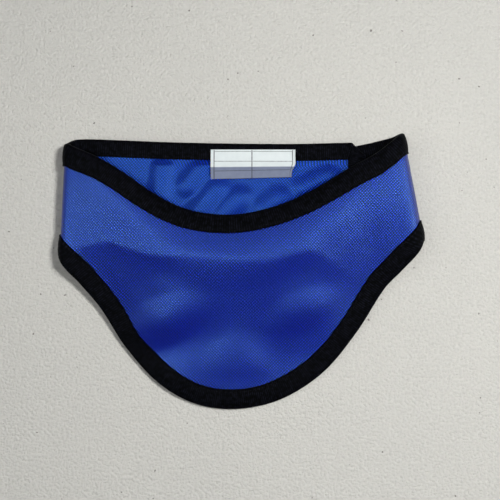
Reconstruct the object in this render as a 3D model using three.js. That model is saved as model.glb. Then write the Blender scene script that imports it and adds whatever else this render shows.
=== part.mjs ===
// Thyroid shield collar, fastened at the back and laid flat. Millimetres, +Z up, +X to the wearer's
// left, the neck edge towards +Y, the tip of the bib towards -Y, resting on Z = 0.
// One band runs from the end of the lower strap, round the right fold, across the bib, round the
// left fold to the end of the upper strap. Its middle surface is a spline through short rows, and
// every sewn piece is an offset of that surface.
import * as THREE from "three";

// Walls and gaps.
const COVER_WALL = 1.2;
const LINING_WALL = 1.0;
const TAPE_WALL = 1.0;
const SEW_GAP = 0.3;
const STACK_GAP = 0.35;

// Ribbed tape: how deep it is folded over each face.
const TAPE_OUTSIDE = 12.4;
const TAPE_INSIDE = 10.5;

// The bib: half the width between the folds, how far the neck edge dips below its corners, the depth
// of the band at the folds, the reach from the corners to the tip, and the rise of the arch.
const HALF_SPAN = 108;
const NECK_DIP = 43;
const SIDE_DEPTH = 72;
const BIB_REACH = 156;
const ARCH_RISE = 24;

// The straps: how far each stops short of the other fold, the run over which the upper strap climbs
// onto the lower one, their depths at the folds and at the cut ends, and the cut of the corners.
const UPPER_STRAP_SHORT = 11.5;
const LOWER_STRAP_SHORT = 27.5;
const UPPER_STRAP_DEPTH = 67;
const LOWER_STRAP_DEPTH = 63;
const STRAP_END_DEPTH = 56;
const CORNER_CUT = 8;

// Closure patches and label.
const PATCH_LENGTH = 96;
const PATCH_DEPTH = 22;
const PATCH_ROUNDING = 5;
const LABEL_WIDTH = 50;
const LABEL_WALL = 1.0;
const LABEL_TOP = 4.2;
const LABEL_FLAT = 10.8;
const LABEL_SLOPE = 6.2;
const LABEL_ALONG = 0.612;

const COLOURS = { nylon: 0x2a4fb4, lining: 0x2450ae, tape: 0x0c0d12, patch: 0x15161a, label: 0xf1f4f6 };
const ROUGHNESS = { nylon: 0.75, lining: 0.75, tape: 0.9, patch: 1, label: 0.6 };

const PANEL = COVER_WALL + SEW_GAP + LINING_WALL;
const TAPE_INNER = PANEL / 2 + SEW_GAP;
const TAPE_OUTER = TAPE_INNER + TAPE_WALL;
const SEAM_INSET = TAPE_WALL + 2 * SEW_GAP;

// Heights of the middle surface: the lower strap lies on the table, the upper strap on its tape.
const LOWER_LEVEL = TAPE_OUTER;
const UPPER_LEVEL = 3 * TAPE_OUTER + STACK_GAP;
const LOW_FOLD_LEVEL = 1.7 * TAPE_OUTER;

// Sections of the bib from the right fold to the left. x is a share of HALF_SPAN, dip a share of
// NECK_DIP below the corners, drop a share of the way from SIDE_DEPTH to BIB_REACH, and the heights
// are shares of ARCH_RISE at the six places of HEIGHT_PLACES, from the neck edge to the hem.
const HEIGHT_PLACES = [0, 0.22, 0.42, 0.62, 0.82, 1];
const BIB_SECTIONS = [
  { neckX: 0.755, dip: 0.02, hemX: 0.905, drop: -0.08, heights: [0.77, 0.79, 0.73, 0.65, 0.54, 0.48] },
  { neckX: 0.665, dip: 0.19, hemX: 0.82, drop: 0.04, heights: [0.77, 0.83, 0.75, 0.6, 0.46, 0.35] },
  { neckX: 0.54, dip: 0.36, hemX: 0.73, drop: 0.165, heights: [0.75, 0.87, 0.75, 0.54, 0.33, 0.21] },
  { neckX: 0.4, dip: 0.58, hemX: 0.585, drop: 0.46, heights: [0.73, 0.94, 0.75, 0.46, 0.19, 0.07] },
  { neckX: 0.25, dip: 0.78, hemX: 0.4, drop: 0.745, heights: [0.73, 0.98, 0.73, 0.37, 0.11, 0.01] },
  { neckX: 0.096, dip: 0.92, hemX: 0.166, drop: 0.935, heights: [0.73, 1, 0.71, 0.33, 0.08, 0] },
  { neckX: -0.07, dip: 1, hemX: -0.077, drop: 1, heights: [0.73, 1, 0.71, 0.33, 0.08, 0] },
  { neckX: -0.235, dip: 0.985, hemX: -0.304, drop: 0.96, heights: [0.73, 0.98, 0.71, 0.33, 0.08, 0] },
  { neckX: -0.384, dip: 0.885, hemX: -0.514, drop: 0.8, heights: [0.71, 0.94, 0.71, 0.37, 0.11, 0.01] },
  { neckX: -0.534, dip: 0.68, hemX: -0.684, drop: 0.557, heights: [0.69, 0.89, 0.71, 0.44, 0.16, 0.04] },
  { neckX: -0.678, dip: 0.425, hemX: -0.811, drop: 0.3, heights: [0.66, 0.81, 0.69, 0.5, 0.27, 0.16] },
  { neckX: -0.824, dip: 0.205, hemX: -0.92, drop: 0.13, heights: [0.62, 0.71, 0.65, 0.54, 0.4, 0.29] },
  { neckX: -0.96, dip: 0.05, hemX: -0.995, drop: 0.024, heights: [0.54, 0.56, 0.55, 0.53, 0.5, 0.48] },
];

// The outermost line of each fold, in the same shares, from its neck corner to its hem corner.
const RIGHT_FOLD = { neckX: 0.825, dip: -0.14, hemX: 0.935, drop: -0.17 };
const LEFT_FOLD = { neckX: -1.0, dip: -0.01, hemX: -1.022, drop: -0.05 };

// Where the straps leave their folds, as shares of HALF_SPAN, and their lengths.
const UPPER_FOLD_X = -0.948;
const LOWER_FOLD_X = 0.742;
const BETWEEN_FOLDS = (LOWER_FOLD_X - UPPER_FOLD_X) * HALF_SPAN;
const UPPER_STRAP_LENGTH = BETWEEN_FOLDS - UPPER_STRAP_SHORT;
const LOWER_STRAP_LENGTH = BETWEEN_FOLDS - LOWER_STRAP_SHORT;

// Rows along each strap, from its fold to its end. lead is a share of LOWER_STRAP_SHORT and along a
// share of the strap's length past that, rise how far the neck edge lies above the corners of the
// bib as a share of NECK_DIP, narrowing the share of the way from the strap's depth at the fold to
// STRAP_END_DEPTH, and lift the share of the way up from its level at the fold to its resting level.
const UPPER_STRAP_ROWS = [
  { lead: 0, along: 0, rise: 0.095, narrowing: 0, lift: 0 },
  { lead: 0.34, along: 0, rise: 0.088, narrowing: 0.05, lift: 0.45 },
  { lead: 0.72, along: 0, rise: 0.07, narrowing: 0.12, lift: 1 },
  { lead: 1, along: 0.24, rise: 0.033, narrowing: 0.4, lift: 1 },
  { lead: 1, along: 0.67, rise: 0.014, narrowing: 0.8, lift: 1 },
  { lead: 1, along: 1, rise: 0.037, narrowing: 1, lift: 1 },
];
const LOWER_STRAP_ROWS = [
  { lead: 0, along: 0, rise: 0.095, narrowing: 0, lift: 1 },
  { lead: 0.56, along: 0, rise: 0.014, narrowing: 0.15, lift: 1 },
  { lead: 1, along: 0.17, rise: -0.093, narrowing: 0.4, lift: 1 },
  { lead: 1, along: 0.575, rise: -0.151, narrowing: 0.8, lift: 1 },
  { lead: 1, along: 1, rise: -0.14, narrowing: 1, lift: 1 },
];
const UPPER_STRAP = {
  foldX: UPPER_FOLD_X * HALF_SPAN,
  towards: 1,
  length: UPPER_STRAP_LENGTH,
  foldDepth: UPPER_STRAP_DEPTH,
  foldLevel: LOW_FOLD_LEVEL,
  level: UPPER_LEVEL,
};
const LOWER_STRAP = {
  foldX: LOWER_FOLD_X * HALF_SPAN,
  towards: -1,
  length: LOWER_STRAP_LENGTH,
  foldDepth: LOWER_STRAP_DEPTH,
  foldLevel: LOWER_LEVEL,
  level: LOWER_LEVEL,
};

// Puckers of the stiff core in the bib: x as a share of HALF_SPAN and y of BIB_REACH from the middle
// of the corners, the full widths across and down as shares of HALF_SPAN, the height of ARCH_RISE.
const PUCKERS = [
  { x: -0.44, y: -0.65, wide: 0.55, deep: 0.5, height: 0.08 },
  { x: 0.34, y: -0.65, wide: 0.55, deep: 0.5, height: 0.08 },
  { x: -0.01, y: -0.76, wide: 0.6, deep: 0.45, height: 0.06 },
];

// Folds of the slack lining on the upper strap: start and end as shares along the strap and down
// from its neck edge, with the half width and height of each as shares of SIDE_DEPTH.
const LINING_FOLDS = [
  { along: 0.427, down: 0.66, toAlong: 0.485, toDown: 0.46, wide: 0.09, height: 0.022 },
  { along: 0.505, down: 0.7, toAlong: 0.56, toDown: 0.54, wide: 0.09, height: 0.02 },
  { along: 0.66, down: 0.66, toAlong: 0.7, toDown: 0.57, wide: 0.11, height: 0.018 },
  { along: 0.79, down: 0.46, toAlong: 0.87, toDown: 0.36, wide: 0.09, height: 0.018 },
];

// The tape never spreads down the rows of the band by more than this. The slant of an edge is taken
// over a step along the band and a share down it.
const MOST_SLANT = 1.4;
const SLANT_STEP = 5;
const SLANT_SHARE = 0.1;

// The band at any place is worked out from this many rows round it, its normal over a small step
// along it and a small share down it, and its depth from so many parts.
const NEAR_ROWS = 6;
const NORMAL_STEP = 0.2;
const NORMAL_SHARE = 0.004;
const DEPTH_PARTS = 8;

// How many columns each stretch of the band has, and how many rows lie between the tapes.
const COLUMNS = { lowerStrap: 11, fold: 9, bib: 38, upperStrap: 20 };
const INNER_ROWS = 6;
const FOLD_ANGLES = [40, 90, 140];
const PATCH_CORNER_SEGMENTS = 4;
const SEARCH_STEPS = 60;

const radians = THREE.MathUtils.degToRad;

// A smooth curve through values at uneven places, as a cubic with chord-scaled slopes.
function through(places, values, at) {
  const last = places.length - 1;
  let i = 0;
  while (i < last - 1 && at > places[i + 1]) i += 1;
  const span = places[i + 1] - places[i];
  const slope = (k) => {
    const a = Math.max(k - 1, 0);
    const b = Math.min(k + 1, last);
    return (values[b] - values[a]) / (places[b] - places[a]);
  };
  const t = (at - places[i]) / span;
  const rise = values[i + 1] - values[i];
  const bend0 = slope(i) * span - rise;
  const bend1 = rise - slope(i + 1) * span;
  return values[i] + t * rise + t * (1 - t) * ((1 - t) * bend0 + t * bend1);
}

const edgePoints = (row) => ({
  neck: [row.neckX * HALF_SPAN, -row.dip * NECK_DIP],
  hem: [row.hemX * HALF_SPAN, -SIDE_DEPTH - row.drop * (BIB_REACH - SIDE_DEPTH)],
});

// Each row of the band is a function from v, 0 at the neck edge and 1 at the hem, to [x, y, z].
function bibRow(section) {
  const { neck, hem } = edgePoints(section);
  const heights = section.heights.map((share) => LOWER_LEVEL + share * ARCH_RISE);
  return (v) => [
    THREE.MathUtils.lerp(neck[0], hem[0], v),
    THREE.MathUtils.lerp(neck[1], hem[1], v),
    through(HEIGHT_PLACES, heights, v),
  ];
}

function strapRow(strap, row) {
  const past = row.along * (strap.length - LOWER_STRAP_SHORT);
  const x = strap.foldX + strap.towards * (row.lead * LOWER_STRAP_SHORT + past);
  const neckY = row.rise * NECK_DIP;
  const depth = THREE.MathUtils.lerp(strap.foldDepth, STRAP_END_DEPTH, row.narrowing);
  const z = THREE.MathUtils.lerp(strap.foldLevel, strap.level, row.lift);
  return (v) => [x, neckY - v * depth, z];
}

// Rows round a fold: half an ellipse from the bib's last row, past the fold line, to the strap.
function foldRow(bib, strap, line, angle) {
  const { neck, hem } = edgePoints(line);
  const out = Math.sin(radians(angle));
  const up = Math.cos(radians(angle));
  return (v) => {
    const top = bib(v);
    const bottom = strap(v);
    const base = angle < 90 ? top : bottom;
    const lineX = THREE.MathUtils.lerp(neck[0], hem[0], v);
    const lineY = THREE.MathUtils.lerp(neck[1], hem[1], v);
    return [
      THREE.MathUtils.lerp(base[0], lineX, out),
      THREE.MathUtils.lerp(base[1], lineY, out),
      (top[2] + bottom[2]) / 2 + ((top[2] - bottom[2]) / 2) * up,
    ];
  };
}

const bibRows = BIB_SECTIONS.map(bibRow);
const upperRows = UPPER_STRAP_ROWS.map((row) => strapRow(UPPER_STRAP, row));
const lowerRows = LOWER_STRAP_ROWS.map((row) => strapRow(LOWER_STRAP, row));
const rightFoldRows = FOLD_ANGLES.map((a) => foldRow(bibRows[0], lowerRows[0], RIGHT_FOLD, a));
const leftFoldRows = FOLD_ANGLES.map((a) => foldRow(bibRows.at(-1), upperRows[0], LEFT_FOLD, a));
const ROWS = [
  ...lowerRows.toReversed(),
  ...rightFoldRows.toReversed(),
  ...bibRows,
  ...leftFoldRows,
  ...upperRows,
];

// Places of the rows along the band: the running distance between their middles.
const PLACES = ROWS.reduce((places, row, i) => {
  if (i === 0) return [0];
  const step = new THREE.Vector3(...row(0.5)).distanceTo(new THREE.Vector3(...ROWS[i - 1](0.5)));
  return [...places, places[i - 1] + step];
}, []);
const BAND_LENGTH = PLACES.at(-1);
const BIB_START = PLACES[lowerRows.length + rightFoldRows.length];
const BIB_END = PLACES[lowerRows.length + rightFoldRows.length + bibRows.length - 1];
const LOWER_END = PLACES[lowerRows.length - 1];
const UPPER_START = PLACES[ROWS.length - upperRows.length];

function pucker(x, y) {
  return PUCKERS.reduce((sum, p) => {
    const across = (x - p.x * HALF_SPAN) / ((p.wide * HALF_SPAN) / 2);
    const down = (y - p.y * BIB_REACH) / ((p.deep * HALF_SPAN) / 2);
    const far = across * across + down * down;
    return far < 1 ? sum + p.height * ARCH_RISE * (1 - far) ** 2 : sum;
  }, 0);
}

// The middle surface of the band at u millimetres along it and share v down from the neck edge.
function band(u, v) {
  const near = PLACES.findLastIndex((place) => place <= u);
  const first = THREE.MathUtils.clamp(near + 1 - NEAR_ROWS / 2, 0, ROWS.length - NEAR_ROWS);
  const places = PLACES.slice(first, first + NEAR_ROWS);
  const points = ROWS.slice(first, first + NEAR_ROWS).map((row) => row(v));
  const at = [0, 1, 2].map((axis) => through(places, points.map((p) => p[axis]), u));
  const onBib = u > BIB_START && u < BIB_END;
  if (onBib) at[2] += pucker(at[0], at[1]);
  return new THREE.Vector3(...at);
}

function bandNormal(u, v) {
  const u0 = Math.max(u - NORMAL_STEP, 0);
  const u1 = Math.min(u + NORMAL_STEP, BAND_LENGTH);
  const v0 = Math.max(v - NORMAL_SHARE, 0);
  const v1 = Math.min(v + NORMAL_SHARE, 1);
  const along = band(u1, v).sub(band(u0, v));
  const down = band(u, v1).sub(band(u, v0));
  return along.cross(down).normalize();
}

// The depth of the band at u, and how far a step square to each edge is stretched along its rows.
function depthAt(u) {
  let total = 0;
  for (let i = 0; i < DEPTH_PARTS; i += 1) {
    total += band(u, i / DEPTH_PARTS).distanceTo(band(u, (i + 1) / DEPTH_PARTS));
  }
  return total;
}

function slantAt(u, v) {
  const u0 = Math.max(u - SLANT_STEP, 0);
  const u1 = Math.min(u + SLANT_STEP, BAND_LENGTH);
  const along = band(u1, v).sub(band(u0, v)).normalize();
  const inner = v < 0.5 ? SLANT_SHARE : -SLANT_SHARE;
  const down = band(u, v + inner).sub(band(u, v)).normalize();
  return Math.min(1 / along.cross(down).length(), MOST_SLANT);
}

// A column of the band holds what each offset point needs: its place, depth and edge slants.
function columnAt(u) {
  return { u, depth: depthAt(u), neckSlant: slantAt(u, 0), hemSlant: slantAt(u, 1) };
}

const evenly = (from, to, count) =>
  Array.from({ length: count }, (_, i) => from + ((to - from) * (i + 1)) / count);

const offsetPoint = (u, v, height) => band(u, v).addScaledVector(bandNormal(u, v), height);

// Shell columns: the cut corners of both ends need a column where the cut begins.
const SHELL_CUT = CORNER_CUT - SEAM_INSET * (2 - Math.SQRT2);
const SHELL_STATIONS = [
  SEAM_INSET,
  SEAM_INSET + SHELL_CUT,
  ...evenly(SEAM_INSET + SHELL_CUT, LOWER_END, COLUMNS.lowerStrap),
  ...evenly(LOWER_END, BIB_START, COLUMNS.fold),
  ...evenly(BIB_START, BIB_END, COLUMNS.bib),
  ...evenly(BIB_END, UPPER_START, COLUMNS.fold),
  ...evenly(UPPER_START, BAND_LENGTH - SEAM_INSET - SHELL_CUT, COLUMNS.upperStrap),
  BAND_LENGTH - SEAM_INSET,
];

// The places down a column of a shell, as shares of its depth: the seams, the tape's edges and even
// rows between them.
function shellShares(column) {
  const toEnd = Math.min(column.u, BAND_LENGTH - column.u);
  const cut = Math.max(0, SHELL_CUT + SEAM_INSET - toEnd);
  const neckSeam = SEAM_INSET * column.neckSlant + cut;
  const hemSeam = column.depth - SEAM_INSET * column.hemSlant - cut;
  const neckTape = Math.max(TAPE_OUTSIDE * column.neckSlant, neckSeam + SEAM_INSET);
  const hemTape = Math.min(column.depth - TAPE_OUTSIDE * column.hemSlant, hemSeam - SEAM_INSET);
  const rows = [neckSeam, neckTape, ...evenly(neckTape, hemTape, INNER_ROWS + 1), hemSeam];
  return rows.map((row) => row / column.depth);
}

// A closed sheet from two grids of points, the first one facing out.
function sheetGeometry(outer, inner) {
  const wide = outer.length;
  const deep = outer[0].length;
  const points = [...outer.flat(), ...inner.flat()];
  const back = wide * deep;
  const at = (i, j) => i * deep + j;
  const faces = [];
  for (let i = 0; i < wide - 1; i += 1) {
    for (let j = 0; j < deep - 1; j += 1) {
      const [a, b, c, d] = [at(i, j), at(i + 1, j), at(i + 1, j + 1), at(i, j + 1)];
      faces.push(a, b, c, a, c, d);
      faces.push(back + a, back + c, back + b, back + a, back + d, back + c);
    }
  }
  const rim = [];
  for (let i = 0; i < wide - 1; i += 1) rim.push(at(i, 0));
  for (let j = 0; j < deep - 1; j += 1) rim.push(at(wide - 1, j));
  for (let i = wide - 1; i > 0; i -= 1) rim.push(at(i, deep - 1));
  for (let j = deep - 1; j > 0; j -= 1) rim.push(at(0, j));
  rim.forEach((p, k) => {
    const q = rim[(k + 1) % rim.length];
    faces.push(p, back + p, back + q, p, back + q, q);
  });
  return indexed(points, faces);
}

function indexed(points, faces) {
  const geometry = new THREE.BufferGeometry().setFromPoints(points);
  geometry.setIndex(faces);
  geometry.computeVertexNormals();
  return geometry;
}

// A solid swept through rings of points, each turning the same way about the direction of travel as
// the flat outline does, with that outline's triangles as its caps. Each side quad is split the way
// the panel under it is, so the two stay parallel where they twist.
function sweptGeometry(rings, outline) {
  const ring = outline.length;
  const faces = [];
  for (let i = 0; i < rings.length - 1; i += 1) {
    for (let k = 0; k < ring; k += 1) {
      const next = (k + 1) % ring;
      const [a, b] = [i * ring + k, i * ring + next];
      const rising = outline[k][0] < outline[next][0];
      faces.push(a, b, rising ? b + ring : a + ring);
      faces.push(rising ? a : b, b + ring, a + ring);
    }
  }
  const flat = outline.map((point) => new THREE.Vector2(...point));
  const last = (rings.length - 1) * ring;
  THREE.ShapeUtils.triangulateShape(flat, []).forEach(([a, b, c]) => {
    faces.push(a, c, b);
    faces.push(last + a, last + b, last + c);
  });
  return indexed(rings.flat(), faces);
}

// The folded tape's section: depth in from the edge and height off the middle surface, first round
// its outside and then back along its inside, with its fold rounded off.
const FOLD_ROUNDING = 0.7;
const TAPE_ROUND = TAPE_WALL * FOLD_ROUNDING;
const TAPE_SECTION = [
  [TAPE_OUTSIDE, TAPE_OUTER],
  [TAPE_ROUND, TAPE_OUTER],
  [0, TAPE_OUTER - TAPE_ROUND],
  [0, TAPE_ROUND - TAPE_OUTER],
  [TAPE_ROUND, -TAPE_OUTER],
  [TAPE_INSIDE, -TAPE_OUTER],
  [TAPE_INSIDE, -TAPE_INNER],
  [TAPE_WALL, -TAPE_INNER],
  [TAPE_WALL, TAPE_INNER],
  [TAPE_OUTSIDE, TAPE_INNER],
];
const MIRRORED_SECTION = TAPE_SECTION.map(([depth, height]) => [-depth, height]).toReversed();
const mirrored = (rings) => rings.map((ring) => ring.toReversed());

// Faces of the panel.
function coverGeometry() {
  const columns = SHELL_STATIONS.map(columnAt);
  const grid = (height) =>
    columns.map((c) => shellShares(c).map((v) => offsetPoint(c.u, v, height)));
  return sheetGeometry(grid(PANEL / 2), grid(PANEL / 2 - COVER_WALL));
}

// How far the slack lining stands off at a place on the upper strap.
function liningFold(u, v) {
  const along = (u - UPPER_START) / UPPER_STRAP_LENGTH;
  return LINING_FOLDS.reduce((highest, fold) => {
    const run = [(fold.toAlong - fold.along) * UPPER_STRAP_LENGTH, (fold.toDown - fold.down) * SIDE_DEPTH];
    const from = [(along - fold.along) * UPPER_STRAP_LENGTH, (v - fold.down) * SIDE_DEPTH];
    const length2 = run[0] ** 2 + run[1] ** 2;
    const t = THREE.MathUtils.clamp((from[0] * run[0] + from[1] * run[1]) / length2, 0, 1);
    const far = Math.hypot(from[0] - t * run[0], from[1] - t * run[1]) / (fold.wide * SIDE_DEPTH);
    return far < 1 ? Math.max(highest, fold.height * SIDE_DEPTH * (1 - far * far) ** 2) : highest;
  }, 0);
}

function liningGeometry() {
  const columns = SHELL_STATIONS.map(columnAt);
  const grid = (height) =>
    columns.map((c) =>
      shellShares(c).map((v, j, all) => {
        const free = j > 1 && j < all.length - 2 && c.u > UPPER_START;
        return offsetPoint(c.u, v, height - (free ? liningFold(c.u, v) : 0));
      }),
    );
  return sheetGeometry(grid(LINING_WALL - PANEL / 2), grid(-PANEL / 2));
}

// Tape along the neck edge or the hem, between the mitres at the two strap ends.
const MITRE = Math.SQRT2 - 1;
function edgeTape(edge) {
  const fromEnd = CORNER_CUT + MITRE * Math.max(TAPE_OUTSIDE, TAPE_INSIDE) + TAPE_WALL;
  const stations = [
    fromEnd,
    ...SHELL_STATIONS.filter((u) => u > fromEnd + TAPE_WALL && u < BAND_LENGTH - fromEnd - TAPE_WALL),
    BAND_LENGTH - fromEnd,
  ];
  const share = (column, depth) =>
    edge === "neck"
      ? (depth * column.neckSlant) / column.depth
      : 1 - (depth * column.hemSlant) / column.depth;
  const ring = (column) =>
    TAPE_SECTION.map(([depth, height]) => offsetPoint(column.u, share(column, depth), height));
  const mitre = (sign) =>
    TAPE_SECTION.map(([depth, height]) => {
      const toEnd = CORNER_CUT + MITRE * depth + SEW_GAP / 2;
      const column = columnAt(sign > 0 ? toEnd : BAND_LENGTH - toEnd);
      return offsetPoint(column.u, share(column, depth), height);
    });
  const rings = [mitre(1), ...stations.map(columnAt).map(ring), mitre(-1)];
  return edge === "neck"
    ? sweptGeometry(rings, TAPE_SECTION)
    : sweptGeometry(mirrored(rings), MIRRORED_SECTION);
}

// Tape round a cut strap end: four mitred corners of the outline.
function endTape(atStart) {
  const corner = ([depth, height], index) => {
    const cut = CORNER_CUT + MITRE * depth;
    const toEnd = index === 0 || index === 3 ? cut - SEW_GAP / 2 : depth;
    const column = columnAt(atStart ? toEnd : BAND_LENGTH - toEnd);
    const down = index === 0 || index === 3 ? depth : cut;
    const share = index < 2 ? down / column.depth : 1 - down / column.depth;
    return offsetPoint(column.u, share, height);
  };
  const rings = [0, 1, 2, 3].map((index) => TAPE_SECTION.map((point) => corner(point, index)));
  return atStart
    ? sweptGeometry(mirrored(rings), MIRRORED_SECTION)
    : sweptGeometry(rings, TAPE_SECTION);
}

// A flat patch with round corners between the straps, thickness up from its underside.
function patchGeometry(thickness) {
  const x = PATCH_LENGTH / 2;
  const y = PATCH_DEPTH / 2;
  const r = PATCH_ROUNDING;
  const outline = new THREE.Shape();
  outline.moveTo(-x + r, -y);
  outline.lineTo(x - r, -y);
  outline.absarc(x - r, -y + r, r, -Math.PI / 2, 0);
  outline.lineTo(x, y - r);
  outline.absarc(x - r, y - r, r, 0, Math.PI / 2);
  outline.lineTo(-x + r, y);
  outline.absarc(-x + r, y - r, r, Math.PI / 2, Math.PI);
  outline.lineTo(-x, -y + r);
  outline.absarc(-x + r, -y + r, r, Math.PI, Math.PI * 1.5);
  return new THREE.ExtrudeGeometry(outline, {
    depth: thickness,
    bevelEnabled: false,
    curveSegments: PATCH_CORNER_SEGMENTS,
  });
}

// The folded label in profile, y down the strap and z up: flat over the tape, creased, then sloping
// to its folded lower edge on the lining.
function labelGeometry() {
  const fall = TAPE_OUTER - PANEL / 2;
  const profile = new THREE.Shape();
  profile.moveTo(0, 0);
  profile.lineTo(0, LABEL_WALL);
  profile.lineTo(-LABEL_FLAT, LABEL_WALL);
  profile.lineTo(-LABEL_FLAT - LABEL_SLOPE, LABEL_WALL - fall);
  profile.lineTo(-LABEL_FLAT - LABEL_SLOPE - LABEL_WALL / 3, LABEL_WALL / 2 - fall);
  profile.lineTo(-LABEL_FLAT - LABEL_SLOPE, -fall);
  profile.lineTo(-LABEL_FLAT, 0);
  return new THREE.ExtrudeGeometry(profile, { depth: LABEL_WIDTH, bevelEnabled: false });
}

function named(name, geometry, finish) {
  const look = { color: COLOURS[finish], roughness: ROUGHNESS[finish], metalness: 0 };
  const material = new THREE.MeshStandardMaterial(look);
  const mesh = new THREE.Mesh(geometry, material);
  mesh.name = name;
  return mesh;
}

const collar = new THREE.Group();
collar.add(named("outer_cover", coverGeometry(), "nylon"));
collar.add(named("inner_lining", liningGeometry(), "lining"));
collar.add(named("neck_binding", edgeTape("neck"), "tape"));
collar.add(named("hem_binding", edgeTape("hem"), "tape"));
collar.add(named("lower_strap_end_binding", endTape(true), "tape"));
collar.add(named("upper_strap_end_binding", endTape(false), "tape"));

// The closure: a patch on each strap, one on the other, in the middle of the straps' overlap.
const upperEndX = UPPER_STRAP.foldX + UPPER_STRAP_LENGTH;
const lowerEndX = LOWER_STRAP.foldX - LOWER_STRAP_LENGTH;
const patchX = (upperEndX + lowerEndX) / 2;
const strapNear = (x, v, from, to) => {
  const points = evenly(from, to, SEARCH_STEPS).map((u) => band(u, v));
  return points.reduce((a, b) => (Math.abs(b.x - x) < Math.abs(a.x - x) ? b : a));
};
const upperNeck = strapNear(patchX, 0, UPPER_START, BAND_LENGTH);
const upperHem = strapNear(patchX, 1, UPPER_START, BAND_LENGTH);
const lowerNeck = strapNear(patchX, 0, 0, LOWER_END);
const lowerHem = strapNear(patchX, 1, 0, LOWER_END);
const patchY = (Math.min(upperNeck.y, lowerNeck.y) + Math.max(upperHem.y, lowerHem.y)) / 2;
const lowerFace = LOWER_LEVEL + PANEL / 2;
const upperFace = UPPER_LEVEL - PANEL / 2;
const patchWall = (upperFace - lowerFace - 3 * SEW_GAP) / 2;
const hook = named("hook_patch", patchGeometry(patchWall), "patch");
hook.position.set(patchX, patchY, lowerFace + SEW_GAP);
const loop = named("loop_patch", patchGeometry(patchWall), "patch");
loop.position.set(patchX, patchY, lowerFace + 2 * SEW_GAP + patchWall);
collar.add(hook, loop);

// The label lies on the upper strap, over its neck binding.
const label = named("size_label", labelGeometry(), "label");
const labelSeat = band(UPPER_START + LABEL_ALONG * UPPER_STRAP_LENGTH, 0);
const acrossStrap = new THREE.Vector3(0, 1, 0);
const upwards = new THREE.Vector3(0, 0, 1);
const alongStrap = new THREE.Vector3(1, 0, 0);
label.quaternion.setFromRotationMatrix(
  new THREE.Matrix4().makeBasis(acrossStrap, upwards, alongStrap),
);
label.position.set(
  labelSeat.x - LABEL_WIDTH / 2,
  labelSeat.y - LABEL_TOP,
  UPPER_LEVEL + TAPE_OUTER + SEW_GAP,
);
collar.add(label);

// The origin is on the table under the middle of the collar.
const box = new THREE.Box3().setFromObject(collar, true);
const middle = box.getCenter(new THREE.Vector3());
collar.position.set(-middle.x, -middle.y, -box.min.z);

export default collar;
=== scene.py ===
# Thyroid shield collar, fastened and laid flat: the looks of every sewn piece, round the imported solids.
# Lengths are in millimetres up to the point where a mesh is made, and Blender's are in metres.
import math
import bpy
import numpy as np
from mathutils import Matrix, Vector

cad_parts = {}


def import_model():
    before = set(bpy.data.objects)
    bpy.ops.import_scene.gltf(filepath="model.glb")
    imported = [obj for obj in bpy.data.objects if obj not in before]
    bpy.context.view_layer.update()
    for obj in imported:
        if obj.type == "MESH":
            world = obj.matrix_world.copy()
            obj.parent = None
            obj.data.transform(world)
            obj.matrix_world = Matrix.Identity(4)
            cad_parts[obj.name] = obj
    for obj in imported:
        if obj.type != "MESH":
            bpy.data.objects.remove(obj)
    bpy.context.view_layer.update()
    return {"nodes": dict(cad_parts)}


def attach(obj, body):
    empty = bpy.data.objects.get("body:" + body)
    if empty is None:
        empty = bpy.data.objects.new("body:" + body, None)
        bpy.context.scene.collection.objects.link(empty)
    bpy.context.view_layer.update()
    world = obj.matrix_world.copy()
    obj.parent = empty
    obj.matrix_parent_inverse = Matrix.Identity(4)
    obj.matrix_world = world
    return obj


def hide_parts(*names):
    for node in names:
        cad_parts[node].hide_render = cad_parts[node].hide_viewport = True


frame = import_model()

MM = 0.001

# Sizes shared with the solids.
COVER_WALL = 1.2
LINING_WALL = 1.0
TAPE_WALL = 1.0
SEW_GAP = 0.3
STACK_GAP = 0.35
PANEL = COVER_WALL + SEW_GAP + LINING_WALL
TAPE_OUTSIDE = 12.4
TAPE_INSIDE = 10.5
TAPE_INNER = PANEL / 2 + SEW_GAP
TAPE_OUTER = TAPE_INNER + TAPE_WALL
SEAM_INSET = TAPE_WALL + 2 * SEW_GAP
HALF_SPAN = 108
NECK_DIP = 43
SIDE_DEPTH = 72
BIB_REACH = 156
ARCH_RISE = 24
UPPER_STRAP_SHORT = 11.5
LOWER_STRAP_SHORT = 27.5
UPPER_STRAP_DEPTH = 67
LOWER_STRAP_DEPTH = 63
STRAP_END_DEPTH = 56
CORNER_CUT = 8
LABEL_WIDTH = 50
LABEL_WALL = 1.0
LABEL_TOP = 4.2
LABEL_FLAT = 10.8
LABEL_SLOPE = 6.2
LABEL_ALONG = 0.612
LOWER_LEVEL = TAPE_OUTER
UPPER_LEVEL = 3 * TAPE_OUTER + STACK_GAP
LOW_FOLD_LEVEL = 1.7 * TAPE_OUTER

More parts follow.
